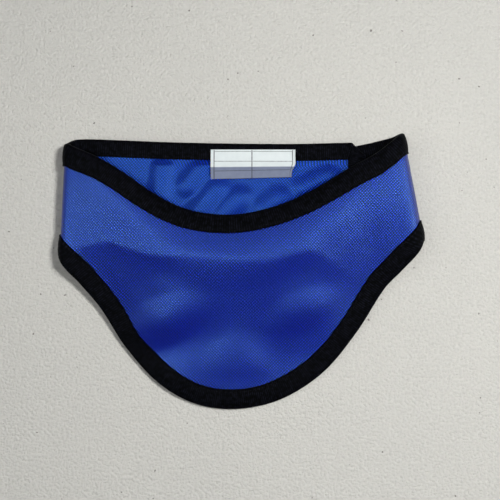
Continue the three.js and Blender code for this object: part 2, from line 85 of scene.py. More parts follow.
# Sections of the bib from the right fold to the left, as shares of the sizes above: the ends of each
# section on the neck edge and the hem, and its heights at HEIGHT_PLACES.
HEIGHT_PLACES = [0, 0.22, 0.42, 0.62, 0.82, 1]
BIB_SECTIONS = [
    dict(neck_x=0.755, dip=0.02, hem_x=0.905, drop=-0.08, heights=[0.77, 0.79, 0.73, 0.65, 0.54, 0.48]),
    dict(neck_x=0.665, dip=0.19, hem_x=0.82, drop=0.04, heights=[0.77, 0.83, 0.75, 0.6, 0.46, 0.35]),
    dict(neck_x=0.54, dip=0.36, hem_x=0.73, drop=0.165, heights=[0.75, 0.87, 0.75, 0.54, 0.33, 0.21]),
    dict(neck_x=0.4, dip=0.58, hem_x=0.585, drop=0.46, heights=[0.73, 0.94, 0.75, 0.46, 0.19, 0.07]),
    dict(neck_x=0.25, dip=0.78, hem_x=0.4, drop=0.745, heights=[0.73, 0.98, 0.73, 0.37, 0.11, 0.01]),
    dict(neck_x=0.096, dip=0.92, hem_x=0.166, drop=0.935, heights=[0.73, 1, 0.71, 0.33, 0.08, 0]),
    dict(neck_x=-0.07, dip=1, hem_x=-0.077, drop=1, heights=[0.73, 1, 0.71, 0.33, 0.08, 0]),
    dict(neck_x=-0.235, dip=0.985, hem_x=-0.304, drop=0.96, heights=[0.73, 0.98, 0.71, 0.33, 0.08, 0]),
    dict(neck_x=-0.384, dip=0.885, hem_x=-0.514, drop=0.8, heights=[0.71, 0.94, 0.71, 0.37, 0.11, 0.01]),
    dict(neck_x=-0.534, dip=0.68, hem_x=-0.684, drop=0.557, heights=[0.69, 0.89, 0.71, 0.44, 0.16, 0.04]),
    dict(neck_x=-0.678, dip=0.425, hem_x=-0.811, drop=0.3, heights=[0.66, 0.81, 0.69, 0.5, 0.27, 0.16]),
    dict(neck_x=-0.824, dip=0.205, hem_x=-0.92, drop=0.13, heights=[0.62, 0.71, 0.65, 0.54, 0.4, 0.29]),
    dict(neck_x=-0.96, dip=0.05, hem_x=-0.995, drop=0.024, heights=[0.54, 0.56, 0.55, 0.53, 0.5, 0.48]),
]
RIGHT_FOLD = dict(neck_x=0.825, dip=-0.14, hem_x=0.935, drop=-0.17, hold=1)
LEFT_FOLD = dict(neck_x=-1.0, dip=-0.01, hem_x=-1.022, drop=-0.05, hold=3)
FOLD_ANGLES = [40, 90, 140]

# The straps, from their folds to their ends, as in the solids.
UPPER_FOLD_X = -0.948
LOWER_FOLD_X = 0.742
BETWEEN_FOLDS = (LOWER_FOLD_X - UPPER_FOLD_X) * HALF_SPAN
UPPER_STRAP_LENGTH = BETWEEN_FOLDS - UPPER_STRAP_SHORT
LOWER_STRAP_LENGTH = BETWEEN_FOLDS - LOWER_STRAP_SHORT
UPPER_STRAP_ROWS = [
    dict(lead=0, along=0, rise=0.095, narrowing=0, lift=0),
    dict(lead=0.34, along=0, rise=0.088, narrowing=0.05, lift=0.45),
    dict(lead=0.72, along=0, rise=0.07, narrowing=0.12, lift=1),
    dict(lead=1, along=0.24, rise=0.033, narrowing=0.4, lift=1),
    dict(lead=1, along=0.67, rise=0.014, narrowing=0.8, lift=1),
    dict(lead=1, along=1, rise=0.037, narrowing=1, lift=1),
]
LOWER_STRAP_ROWS = [
    dict(lead=0, along=0, rise=0.095, narrowing=0, lift=1),
    dict(lead=0.56, along=0, rise=0.014, narrowing=0.15, lift=1),
    dict(lead=1, along=0.17, rise=-0.093, narrowing=0.4, lift=1),
    dict(lead=1, along=0.575, rise=-0.151, narrowing=0.8, lift=1),
    dict(lead=1, along=1, rise=-0.14, narrowing=1, lift=1),
]
UPPER_STRAP = dict(
    fold_x=UPPER_FOLD_X * HALF_SPAN, towards=1, length=UPPER_STRAP_LENGTH,
    fold_depth=UPPER_STRAP_DEPTH, fold_level=LOW_FOLD_LEVEL, level=UPPER_LEVEL,
)
LOWER_STRAP = dict(
    fold_x=LOWER_FOLD_X * HALF_SPAN, towards=-1, length=LOWER_STRAP_LENGTH,
    fold_depth=LOWER_STRAP_DEPTH, fold_level=LOWER_LEVEL, level=LOWER_LEVEL,
)

# Puckers of the stiff core: place and full widths as shares of HALF_SPAN, height of ARCH_RISE.
PUCKERS = [
    dict(x=-0.44, y=-0.94, wide=0.55, deep=0.5, height=0.08),
    dict(x=0.34, y=-0.94, wide=0.55, deep=0.5, height=0.08),
    dict(x=-0.01, y=-1.1, wide=0.6, deep=0.45, height=0.06),
]

# Folds of the slack lining on the upper strap: start and end as shares along the strap and down it,
# half width and height as shares of SIDE_DEPTH.
LINING_FOLDS = [
    dict(along=0.3, down=0.12, to_along=0.29, to_down=0.5, wide=0.13, height=0.045),
    dict(along=0.385, down=0.42, to_along=0.45, to_down=0.19, wide=0.15, height=0.045),
    dict(along=0.427, down=0.66, to_along=0.485, to_down=0.46, wide=0.16, height=0.05),
    dict(along=0.505, down=0.7, to_along=0.56, to_down=0.54, wide=0.16, height=0.05),
    dict(along=0.66, down=0.66, to_along=0.7, to_down=0.57, wide=0.18, height=0.047),
    dict(along=0.79, down=0.46, to_along=0.87, to_down=0.36, wide=0.16, height=0.045),
]

# Finer relief of the bib. The crest is the line where the stiff core under the neck edge ends, as
# shares of HALF_SPAN. It has a slope and a reach on each side, a rounded top, and fades in from its
# left end and out to its right end over shares of its length.
CREST_LINE = [
    dict(x=-0.98, y=-0.575),
    dict(x=-0.9, y=-0.565),
    dict(x=-0.76, y=-0.538),
    dict(x=-0.64, y=-0.575),
    dict(x=-0.52, y=-0.612),
    dict(x=-0.26, y=-0.618),
    dict(x=-0.08, y=-0.637),
    dict(x=0.11, y=-0.636),
    dict(x=0.22, y=-0.606),
    dict(x=0.33, y=-0.596),
    dict(x=0.45, y=-0.648),
    dict(x=0.56, y=-0.72),
]
CREST_SLOPE = 0.26
CREST_REACH = 9.0
CREST_ROUND = 1.3
CREST_FADE_LEFT = 0.08
CREST_FADE_RIGHT = 0.22

# Soft dents and swellings below the crest: place and half widths as shares of HALF_SPAN, the turn of
# the wider half in degrees, and the height in mm, which is below 0 for a hollow.
DENTS = [
    dict(x=-0.46, y=-0.965, wide=0.28, deep=0.15, turn=24, height=3.0),
    dict(x=0.27, y=-0.91, wide=0.24, deep=0.13, turn=24, height=2.1),
    dict(x=-0.06, y=-1.22, wide=0.22, deep=0.26, turn=-20, height=2.6),
    dict(x=0.07, y=-1.1, wide=0.2, deep=0.13, turn=-35, height=-1.2),
    dict(x=-0.33, y=-1.24, wide=0.3, deep=0.19, turn=20, height=2.2),
]

# Ribbed tape: pitch and height of its ribs, pitch of the dashes that cross them, with the share of a
# dash by which each rib's are shifted, and the waviness of its border over a strip of its width.
RIB_PITCH = 1.25
RIB_HEIGHT = 0.14
DASH_PITCH = 0.62
DASH_SHIFT = 0.37
BORDER_WAVE = 0.18
BORDER_STRIP = 1.5

# The border is sewn down: its drop, its distance from the stitches, the groove and how deep they lie.
BORDER_DROP = 0.45
STITCH_IN = 1.6
STITCH_GROOVE = 0.12
STITCH_LENGTH = 2.6
STITCH_GAP = 0.5
STITCH_RADIUS = 0.17
STITCH_SINK = 0.05
STITCH_DIP = 0.22

# Where the tape turns the cut corners of the straps, its columns fan out over a length of the edge
# with a little slack. At the side folds its border runs straight across a bridged stretch.
CORNER_SLACK = 0.35
FAN_LENGTH = 13.0
FOLD_BRIDGE = 12.0
LEFT_BRIDGE_LEAD = 1.3 * FOLD_BRIDGE
LEFT_BRIDGE_TAIL = FOLD_BRIDGE / 2

# Slant of an edge against the band's rows: taken over a step along the band and a share down it, with
# the most that it stretches a seam. The tape's columns stand square this far in from a strap end,
# and then take up the slant over a further stretch.
SLANT_STEP = 5
SLANT_SHARE = 0.1
MOST_SLANT = 1.4
SLANT_FREE_END = 20
SLANT_FADE = 15

# The slack lining is held near the tapes and its folds fade in beyond, as shares of the band's depth.
LINING_HELD = 0.16
LINING_FADE = 0.08

# Nylon: the distance from one thread to the next.
THREAD_PITCH = 0.9

# Fineness: columns and rows of the meshes, the steps over which the surface's slopes are taken, the
# samples of a line, the shares of the depth between which the tape's border is searched by halving,
# and the samples each way over which a line is smoothed.
CLOTH_COLUMNS = 430
CLOTH_ROWS = 64
CUT_COLUMNS = 7
RIB_COLUMNS = 4
NORMAL_STEP = 0.4
NORMAL_SHARE = 0.006
DEPTH_SAMPLES = 17
EDGE_SAMPLES = 1400
LINE_SAMPLES = 1440
NEAR_SAMPLES = 26
HALVINGS = 12
BORDER_SEARCH = (0.02, 0.42)
SLANT_SMOOTHING = 6
BORDER_SMOOTHING = 6
EDGE_SLANT_SMOOTHING = 30
CORNER_SMOOTHING = 3


def cubic(t, span, start, end, slope0, slope1):
    """A cubic from start to end over span, with a slope at each end."""
    rise = end - start
    bend0 = slope0 * span - rise
    bend1 = rise - slope1 * span
    return start + t * rise + t * (1 - t) * ((1 - t) * bend0 + t * bend1)


def through(places, values, at):
    """A smooth curve through values at uneven places."""
    places = np.asarray(places, float)
    values = np.asarray(values, float)
    last = len(places) - 1
    before = np.maximum(np.arange(last + 1) - 1, 0)
    after = np.minimum(np.arange(last + 1) + 1, last)
    slopes = (values[after] - values[before]) / (places[after] - places[before])
    i = np.clip(np.searchsorted(places, at, side="right") - 1, 0, last - 1)
    span = places[i + 1] - places[i]
    t = (at - places[i]) / span
    return cubic(t, span, values[i], values[i + 1], slopes[i], slopes[i + 1])


def lerp(start, end, share):
    return start + (end - start) * share


def smooth(share):
    """A step from 0 to 1 with soft ends."""
    share = np.clip(share, 0, 1)
    return share * share * (3 - 2 * share)


def running_length(points):
    """The length along a line of points up to each of them."""
    return np.concatenate([[0], np.cumsum(np.linalg.norm(np.diff(points, axis=0), axis=1))])


def edge_points(row):
    """Where a section meets the neck edge and the hem."""
    neck = (row["neck_x"] * HALF_SPAN, -row["dip"] * NECK_DIP)
    hem = (row["hem_x"] * HALF_SPAN, -SIDE_DEPTH - row["drop"] * (BIB_REACH - SIDE_DEPTH))
    return neck, hem


# Each row is a function from v, 0 at the neck edge and 1 at the hem, to points.
def bib_row(section):
    """A section of the bib, with its arch."""
    neck, hem = edge_points(section)
    heights = [LOWER_LEVEL + share * ARCH_RISE for share in section["heights"]]

    def row(v):
        return np.stack(
            [lerp(neck[0], hem[0], v), lerp(neck[1], hem[1], v), through(HEIGHT_PLACES, heights, v)], -1
        )

    return row


def strap_row(strap, section):
    """A section of a strap, flat and square to its length."""
    past = section["along"] * (strap["length"] - LOWER_STRAP_SHORT)
    x = strap["fold_x"] + strap["towards"] * (section["lead"] * LOWER_STRAP_SHORT + past)
    neck_y = section["rise"] * NECK_DIP
    depth = lerp(strap["fold_depth"], STRAP_END_DEPTH, section["narrowing"])
    z = lerp(strap["fold_level"], strap["level"], section["lift"])

    def row(v):
        return np.stack([np.full_like(v, x), neck_y - v * depth, np.full_like(v, z)], -1)

    return row


def fold_row(bib, strap, line, angle):
    """A section at an angle round a side fold, between the bib's end and the strap's start."""
    neck, hem = edge_points(line)
    out = math.sin(math.radians(angle))
    up = math.cos(math.radians(angle))

    def row(v):
        top, bottom = bib(v), strap(v)
        base = top if angle < 90 else bottom
        held = 1 if angle < 90 else lerp(line["hold"], 1, v)
        x = lerp(base[..., 0], lerp(neck[0], hem[0], v), out)
        y = lerp(base[..., 1], lerp(neck[1], hem[1], v), out**held)
        z = (top[..., 2] + bottom[..., 2]) / 2 + (top[..., 2] - bottom[..., 2]) / 2 * up
        return np.stack([x, y, z], -1)

    return row


BIB_ROWS = [bib_row(section) for section in BIB_SECTIONS]
UPPER_ROWS = [strap_row(UPPER_STRAP, section) for section in UPPER_STRAP_ROWS]
LOWER_ROWS = [strap_row(LOWER_STRAP, section) for section in LOWER_STRAP_ROWS]
RIGHT_FOLD_ROWS = [fold_row(BIB_ROWS[0], LOWER_ROWS[0], RIGHT_FOLD, angle) for angle in FOLD_ANGLES]
LEFT_FOLD_ROWS = [fold_row(BIB_ROWS[-1], UPPER_ROWS[0], LEFT_FOLD, angle) for angle in FOLD_ANGLES]
ROWS = LOWER_ROWS[::-1] + RIGHT_FOLD_ROWS[::-1] + BIB_ROWS + LEFT_FOLD_ROWS + UPPER_ROWS

# Places of the rows: the running distance between their middles.
MIDDLES = np.array([row(np.array([0.5]))[0] for row in ROWS])
PLACES = running_length(MIDDLES)
BAND_LENGTH = PLACES[-1]
BIB_START = PLACES[len(LOWER_ROWS) + len(RIGHT_FOLD_ROWS)]
BIB_END = PLACES[len(LOWER_ROWS) + len(RIGHT_FOLD_ROWS) + len(BIB_ROWS) - 1]
UPPER_START = PLACES[len(ROWS) - len(UPPER_ROWS)]


def bump(far):
    """A soft round bump, 1 at its middle and 0 where far reaches 1."""
    return np.where(far < 1, (1 - np.minimum(far, 1) ** 2) ** 2, 0)


def pucker(x, y):
    """Height of the broad puckers, as in the solids."""
    total = np.zeros_like(x)
    for p in PUCKERS:
        across = (x - p["x"] * HALF_SPAN) / (p["wide"] * HALF_SPAN / 2)
        down = (y - p["y"] * HALF_SPAN) / (p["deep"] * HALF_SPAN / 2)
        total += p["height"] * ARCH_RISE * bump(np.hypot(across, down))
    return total


def crest(x, y):
    """The sharp crest: a ridge that falls off on both sides of its line."""
    line_x = [point["x"] * HALF_SPAN for point in CREST_LINE]
    line_y = [point["y"] * HALF_SPAN for point in CREST_LINE]
    far = np.sqrt((y - through(line_x, line_y, x)) ** 2 + CREST_ROUND**2)
    share = (x - line_x[0]) / (line_x[-1] - line_x[0])
    inside = smooth(share / CREST_FADE_LEFT) * smooth((1 - share) / CREST_FADE_RIGHT)
    return CREST_SLOPE * CREST_REACH * inside * np.exp(-far / CREST_REACH)


def dents(x, y):
    """Height of the soft dents and swellings."""
    total = np.zeros_like(x)
    for dent in DENTS:
        turn = math.radians(dent["turn"])
        across, down = x - dent["x"] * HALF_SPAN, y - dent["y"] * HALF_SPAN
        run = (across * math.cos(turn) + down * math.sin(turn)) / (dent["wide"] * HALF_SPAN)
        rise = (down * math.cos(turn) - across * math.sin(turn)) / (dent["deep"] * HALF_SPAN)
        total += dent["height"] * bump(np.hypot(run, rise))
    return total


def band(u, v):
    """Middle surface of the band at u along it and share v down from the neck edge."""
    u, v = np.broadcast_arrays(np.asarray(u, float), np.asarray(v, float))
    shape = u.shape
    u, v = np.clip(u.ravel(), 0, BAND_LENGTH), v.ravel()
    last = len(ROWS) - 1
    out = np.empty((u.size, 3))
    stretch = np.clip(np.searchsorted(PLACES, u, side="right") - 1, 0, last - 1)
    for i in np.unique(stretch):
        here = stretch == i
        left, right = max(i - 1, 0), min(i + 2, last)
        before, start, end, after = (ROWS[k](v[here]) for k in (left, i, i + 1, right))
        span = PLACES[i + 1] - PLACES[i]
        slope0 = (end - before) / (PLACES[i + 1] - PLACES[left])
        slope1 = (after - start) / (PLACES[right] - PLACES[i])
        t = ((u[here] - PLACES[i]) / span)[:, None]
        out[here] = cubic(t, span, start, end, slope0, slope1)
    on_bib = (u > BIB_START) & (u < BIB_END)
    x, y = out[:, 0], out[:, 1]
    out[:, 2] += np.where(on_bib, pucker(x, y) + crest(x, y) + dents(x, y), 0)
    return out.reshape(*shape, 3)


def unit(vectors):
    return vectors / np.linalg.norm(vectors, axis=-1, keepdims=True)


def tangents(u, v):
    """How the middle surface moves with u and with v."""
    u, v = np.broadcast_arrays(np.asarray(u, float), np.asarray(v, float))
    u0, u1 = np.maximum(u - NORMAL_STEP, 0), np.minimum(u + NORMAL_STEP, BAND_LENGTH)
    v0, v1 = np.maximum(v - NORMAL_SHARE, 0), np.minimum(v + NORMAL_SHARE, 1)
    along = (band(u1, v) - band(u0, v)) / (u1 - u0)[..., None]
    down = (band(u, v1) - band(u, v0)) / (v1 - v0)[..., None]
    return along, down


def offset(u, v, height):
    """Points at a height off the middle surface, outwards."""
    along, down = tangents(u, v)
    return band(u, v) + unit(np.cross(along, down)) * np.asarray(height)[..., None]


def depth_at(u):
    """The depth of the band at each u."""
    v = np.linspace(0, 1, DEPTH_SAMPLES)
    points = band(np.asarray(u)[:, None], v[None, :])
    return np.linalg.norm(np.diff(points, axis=1), axis=2).sum(axis=1)


def softened(values, reach):
    """The values smoothed with a bell that reaches that many samples each way."""
    kernel = np.exp(-np.linspace(-2, 2, 2 * reach + 1) ** 2)
    kernel /= kernel.sum()
    padded = np.concatenate([np.full(reach, values[0]), values, np.full(reach, values[-1])])
    return np.convolve(padded, kernel, mode="valid")


# Meshes and pieces.
def grid_faces(wide, deep, flip=False, first=0, wrap=False):
    """Quads of a grid of wide columns and deep rows, with the rows joined round if wrap is set."""
    i = np.arange(wide - 1)[:, None]
    j = np.arange(deep if wrap else deep - 1)[None, :]
    k = (j + 1) % deep
    a, b = i * deep + j, (i + 1) * deep + j
    c, d = (i + 1) * deep + k, i * deep + k
    quads = np.stack([a, b, c, d] if not flip else [a, d, c, b], -1).reshape(-1, 4)
    return (quads + first).tolist()


def add_piece(name, points, faces, material, lay=None):
    """A piece of the collar from points in millimetres, on the one body."""
    mesh = bpy.data.meshes.new(name)
    mesh.from_pydata((points * MM).tolist(), [], faces)
    mesh.update()
    mesh.polygons.foreach_set("use_smooth", [True] * len(mesh.polygons))
    if lay is not None:
        attribute = mesh.attributes.new("lay", "FLOAT_VECTOR", "POINT")
        attribute.data.foreach_set("vector", lay.astype(np.float32).ravel())
    mesh.materials.append(material)
    piece = bpy.data.objects.new(name, mesh)
    bpy.context.scene.collection.objects.link(piece)
    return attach(piece, "root") or piece


class Graph:
    """A material's node tree, with the few kinds of node that the cloths need."""

    def __init__(self, name, **settings):
        self.material = bpy.data.materials.new(name)
        self.material.use_nodes = True
        self.tree = self.material.node_tree
        self.tree.nodes.clear()
        self.shader = self.node("ShaderNodeBsdfPrincipled", **settings)
        output = self.node("ShaderNodeOutputMaterial")
        self.tree.links.new(self.shader.outputs["BSDF"], output.inputs["Surface"])

    def node(self, kind, options=None, **inputs):
        node = self.tree.nodes.new(kind)
        for key, value in (options or {}).items():
            setattr(node, key, value)
        for key, value in inputs.items():
            self.join(value, node.inputs[key.replace("_", " ")])
        return node

    def join(self, value, socket):
        if isinstance(value, bpy.types.NodeSocket):
            self.tree.links.new(value, socket)
        else:
            socket.default_value = value

    def math(self, operation, *values):
        node = self.tree.nodes.new("ShaderNodeMath")
        node.operation = operation
        for socket, value in zip(node.inputs, values):
            self.join(value, socket)
        return node.outputs[0]

    def lay(self):
        """The cloth's own coordinates in millimetres, as separate numbers."""
        attribute = self.node("ShaderNodeAttribute", dict(attribute_name="lay"))
        split = self.node("ShaderNodeSeparateXYZ", Vector=attribute.outputs["Vector"])
        return attribute.outputs["Vector"], split.outputs

    def noise(self, place, scale, detail=2.0, roughness=0.5):
        inputs = dict(Vector=place, Scale=scale, Detail=detail, Roughness=roughness)
        return self.node("ShaderNodeTexNoise", **inputs).outputs["Fac"]

    def span(self, value, low, high, to_low=0.0, to_high=1.0):
        node = self.node("ShaderNodeMapRange")
        for socket, number in zip(node.inputs, (value, low, high, to_low, to_high)):
            self.join(number, socket)
        return node.outputs[0]

    def mix(self, share, first, second):
        node = self.node("ShaderNodeMix", dict(data_type="RGBA"))
        self.join(share, node.inputs[0])
        self.join(first, node.inputs[6])
        self.join(second, node.inputs[7])
        return node.outputs[2]

    def bump(self, height, distance, normal=None, strength=1.0):
        node = self.node("ShaderNodeBump", Height=height, Distance=distance, Strength=strength)
        if normal is not None:
            self.join(normal, node.inputs["Normal"])
        return node.outputs["Normal"]


def colour(red, green, blue):
    return (red, green, blue, 1.0)


def nylon_material(name, dark, light, gloss):
    """Plain-woven nylon: threads over and under in a checker, glossy where one comes up, with a painted
    highlight on the raised threads and painted shade in the gaps between them.
    """
    graph = Graph(name, IOR=1.6, Specular_IOR_Level=0.92, Specular_Tint=gloss)
    place, axes = graph.lay()
    drift = graph.span(graph.noise(place, scale=0.22), 0.3, 0.7, to_low=-0.25, to_high=0.25)
    turns = math.pi / THREAD_PITCH
    across = graph.math("SINE", graph.math("MULTIPLY", graph.math("ADD", axes[0], drift), turns))
    down = graph.math("SINE", graph.math("MULTIPLY", graph.math("ADD", axes[1], drift), turns))
    over = graph.math("MULTIPLY", across, down)
    uneven = graph.span(graph.noise(place, scale=0.6), 0.3, 0.7, to_low=0.5)
    raised = graph.math("MULTIPLY", graph.span(over, 0.2, 0.5), uneven)
    # The raised threads take the light colour as a painted highlight, and the gaps take the near-black
    # dark colour as painted shade.
    graph.join(graph.mix(raised, dark, light), graph.shader.inputs["Base Color"])
    rough = graph.span(raised, 0.0, 1.0, to_low=0.36, to_high=0.12)
    graph.join(rough, graph.shader.inputs["Roughness"])
    fine = graph.bump(over, distance=0.00007)
    wrinkles = graph.bump(graph.noise(place, scale=0.05), distance=0.0008, normal=fine, strength=0.3)
    graph.join(wrinkles, graph.shader.inputs["Normal"])
    return graph.material


def tape_material(name):
    """Black ribbed tape: each rib broken into short raised dashes where the warp crosses it, the dashes
    painted lighter as a highlight on the crests.
    """
    graph = Graph(name, Roughness=0.55, Specular_IOR_Level=0.03, Specular_Tint=colour(0.8, 0.9, 1.0))
    place, axes = graph.lay()
    turn = 2 * math.pi / RIB_PITCH
    rib = graph.span(graph.math("COSINE", graph.math("MULTIPLY", axes[0], turn)), -0.4, 0.9)
    which = graph.math("FLOOR", graph.math("DIVIDE", axes[0], RIB_PITCH))
    shift = graph.math("MULTIPLY", which, DASH_SHIFT)
    warp = graph.math("ADD", graph.math("MULTIPLY", axes[1], 1 / DASH_PITCH), shift)
    dash = graph.span(graph.math("SINE", graph.math("MULTIPLY", warp, 2 * math.pi)), -0.6, 0.6)
    blotch = graph.span(graph.noise(place, scale=0.5, detail=3.0), 0.4, 0.7)
    raised = graph.math("MULTIPLY", graph.math("MULTIPLY", rib, dash), blotch)
    # The raised dashes take the lighter black as a painted highlight on the ribs' crests, and the grooves
    # take the near-black as painted shade.
    base = graph.mix(raised, colour(0.0001, 0.0001, 0.0002), colour(0.016, 0.017, 0.03))
    graph.join(base, graph.shader.inputs["Base Color"])
    height = graph.math("ADD", graph.math("MULTIPLY", dash, 0.5), graph.noise(place, scale=2.5))
    graph.join(graph.bump(height, distance=0.00008), graph.shader.inputs["Normal"])
    return graph.material


def thread_material():
    """The black sewing thread, with a painted highlight in small spots where its strands come up."""
    graph = Graph("black_thread", Roughness=0.6, Specular_IOR_Level=0.05)
    coordinates = graph.node("ShaderNodeTexCoord").outputs["Object"]
    painted_twist_glint = graph.noise(coordinates, scale=2500.0, detail=1.0)
    # Lighter in small spots: a painted highlight where the strands come up.
    base = graph.mix(painted_twist_glint, colour(0.0004, 0.0004, 0.0006), colour(0.004, 0.004, 0.005))
    graph.join(base, graph.shader.inputs["Base Color"])
    return graph.material


def closure_material(name, tufts):
    """The closure's brushed loops or its rows of small hooks, dark and matt."""
    graph = Graph(name, Roughness=0.85, Specular_IOR_Level=0.15)
    place = graph.node("ShaderNodeTexCoord").outputs["Object"]
    fuzz = graph.noise(place, scale=tufts, detail=3.0, roughness=0.7)
    cells = graph.node("ShaderNodeTexVoronoi", Vector=place, Scale=tufts).outputs["Distance"]
    base = graph.mix(fuzz, colour(0.002, 0.002, 0.003), colour(0.02, 0.02, 0.024))
    graph.join(base, graph.shader.inputs["Base Color"])
    pile = graph.bump(graph.math("ADD", fuzz, cells), distance=0.0004)
    graph.join(pile, graph.shader.inputs["Normal"])
    return graph.material


# Cloth shells.
CUT = CORNER_CUT - SEAM_INSET * (2 - math.sqrt(2))


def shell_stations():
    """Places along the band for the columns of a shell, one of them where each end's cut begins."""
    cuts = [SEAM_INSET + CUT * t for t in np.linspace(0, 1, CUT_COLUMNS)]
    middle = np.linspace(cuts[-1], BAND_LENGTH - cuts[-1], CLOTH_COLUMNS)
    return np.concatenate([cuts[:-1], middle, [BAND_LENGTH - c for c in cuts[-2::-1]]])


def edge_slant(u, v):
    """How far a step square to the edge is stretched along the band's rows."""
    u0, u1 = np.maximum(u - SLANT_STEP, 0), np.minimum(u + SLANT_STEP, BAND_LENGTH)
    along = unit(band(u1, v) - band(u0, v))
    inner = SLANT_SHARE if v < 0.5 else -SLANT_SHARE
    down = unit(band(u, v + inner) - band(u, v))
    stretch = 1 / np.linalg.norm(np.cross(along, down), axis=1)
    return softened(np.minimum(stretch, MOST_SLANT), SLANT_SMOOTHING)


def shell_grid():
    """u and v of a shell's grid, from seam to seam."""
    u = shell_stations()
    depth = depth_at(u)
    cut = np.maximum(0, CUT + SEAM_INSET - np.minimum(u, BAND_LENGTH - u))
    neck = (SEAM_INSET * edge_slant(u, 0.0) + cut) / depth
    hem = 1 - (SEAM_INSET * edge_slant(u, 1.0) + cut) / depth
    rows = np.linspace(0, 1, CLOTH_ROWS)
    v = lerp(neck[:, None], hem[:, None], rows[None, :])
    return np.broadcast_to(u[:, None], v.shape), v


def cloth_lay(points):
    """Weave coordinates: the length round the band past each fold, and y down it."""
    step = np.hypot(np.diff(points[..., 0], axis=0), np.diff(points[..., 2], axis=0))
    run = np.concatenate([np.zeros((1, points.shape[1])), np.cumsum(step, axis=0)])
    middle = points.shape[0] // 2
    across = points[middle : middle + 1, :, 0] + run[middle : middle + 1] - run
    return np.stack([across, points[..., 1], np.zeros_like(across)], -1)


def shell(name, u, v, near, far, material, relief=None):
    """A closed sheet between two heights off the middle surface, near facing away from far."""
    extra = np.zeros_like(u) if relief is None else relief
    front = offset(u, v, near + extra)
    back = offset(u, v, far + extra)
    wide, deep = u.shape
    points = np.concatenate([front.reshape(-1, 3), back.reshape(-1, 3)]) + SHIFT
    lay = np.concatenate([cloth_lay(front).reshape(-1, 3)] * 2)
    outward = near > far
    count = wide * deep
    faces = grid_faces(wide, deep, not outward) + grid_faces(wide, deep, outward, count)
    rim = [i * deep for i in range(wide - 1)]
    rim += [(wide - 1) * deep + j for j in range(deep - 1)]
    rim += [i * deep + deep - 1 for i in range(wide - 1, 0, -1)]
    rim += list(range(deep - 1, 0, -1))
    for p, q in zip(rim, rim[1:] + rim[:1]):
        faces.append([p, count + p, count + q, q] if outward else [p, q, count + q, count + p])
    return add_piece(name, points, faces, material, lay)


def lining_fold(u, v):
    """How far the slack lining stands off on the upper strap."""
    along = (u - UPPER_START) / UPPER_STRAP_LENGTH
    highest = np.zeros_like(u)
    for fold in LINING_FOLDS:
        run_x = (fold["to_along"] - fold["along"]) * UPPER_STRAP_LENGTH
        run_y = (fold["to_down"] - fold["down"]) * SIDE_DEPTH
        x, y = (along - fold["along"]) * UPPER_STRAP_LENGTH, (v - fold["down"]) * SIDE_DEPTH
        t = np.clip((x * run_x + y * run_y) / (run_x**2 + run_y**2), 0, 1)
        far = np.hypot(x - t * run_x, y - t * run_y) / (fold["wide"] * SIDE_DEPTH)
        highest = np.maximum(highest, fold["height"] * SIDE_DEPTH * bump(far))
    return highest


# The folded tape.
def tape_section():
    """Depth in from the edge and height off the middle surface, round the outside of the folded tape
    and back along its inside, with the share of the ribs' height at each point."""
    top = TAPE_OUTER
    sewn = top - BORDER_DROP
    seam = PANEL / 2

    def face(reach, side):
        """The outside of the tape on one face, from its border to the fold."""
        rows = [
            dict(depth=reach, height=seam + 0.1, rib=0.0),
            dict(depth=reach, height=sewn - 0.15, rib=0.4),
            dict(depth=reach - 0.12, height=sewn, rib=0.8),
            dict(depth=reach - STITCH_IN + 0.45, height=sewn + 0.02, rib=1.0),
            dict(depth=reach - STITCH_IN, height=sewn - STITCH_GROOVE, rib=0.7),
            dict(depth=reach - STITCH_IN - 0.45, height=sewn + 0.08, rib=1.0),
            dict(depth=reach - 3.2, height=top - 0.16, rib=1.0),
            dict(depth=reach - 5.0, height=top, rib=1.0),
            dict(depth=5.2, height=top, rib=1.0),
            dict(depth=3.6, height=top - 0.1, rib=0.9),
            dict(depth=2.2, height=top - 0.35, rib=0.8),
        ]
        return [(row["depth"], side * row["height"], row["rib"]) for row in rows]

    fold_deep = 1.25 / 0.9
    fold_high = (top - 0.55) / math.sin(math.radians(76))
    turns = np.radians([62, 38, 14, -14, -38, -62])
    fold = [(fold_deep * (1 - math.cos(t)), fold_high * math.sin(t), 0.7) for t in turns]
    inner = TAPE_WALL + 0.4
    inside = [(inner, -seam - 0.12, 0.0), (TAPE_WALL, 0.0, 0.0), (inner, seam + 0.12, 0.0)]
    return np.array(face(TAPE_OUTSIDE, 1) + fold + face(TAPE_INSIDE, -1)[::-1] + inside)


def strap_fan(from_end, reach):
    """How far from the strap's end the inner side of a tape column lies, for its place on the edge."""
    inner = reach + CORNER_SLACK
    limit = CORNER_CUT + FAN_LENGTH
    fanned = inner + (limit - inner) * (from_end - CORNER_CUT) / FAN_LENGTH
    return np.where(from_end < limit, fanned, from_end)


def bridged(u, share):
    """The share carried straight across each fold, where the rows of the band bunch up."""
    order = np.argsort(u)
    for start, end in (
        (BIB_START - FOLD_BRIDGE, BIB_START + FOLD_BRIDGE),
        (BIB_END - LEFT_BRIDGE_LEAD, UPPER_START - LEFT_BRIDGE_TAIL),
    ):
        first, last = np.interp([start, end], u[order], share[order])
        along = (u - start) / (end - start)
        share = np.where((along > 0) & (along < 1), lerp(first, last, along), share)
    return share


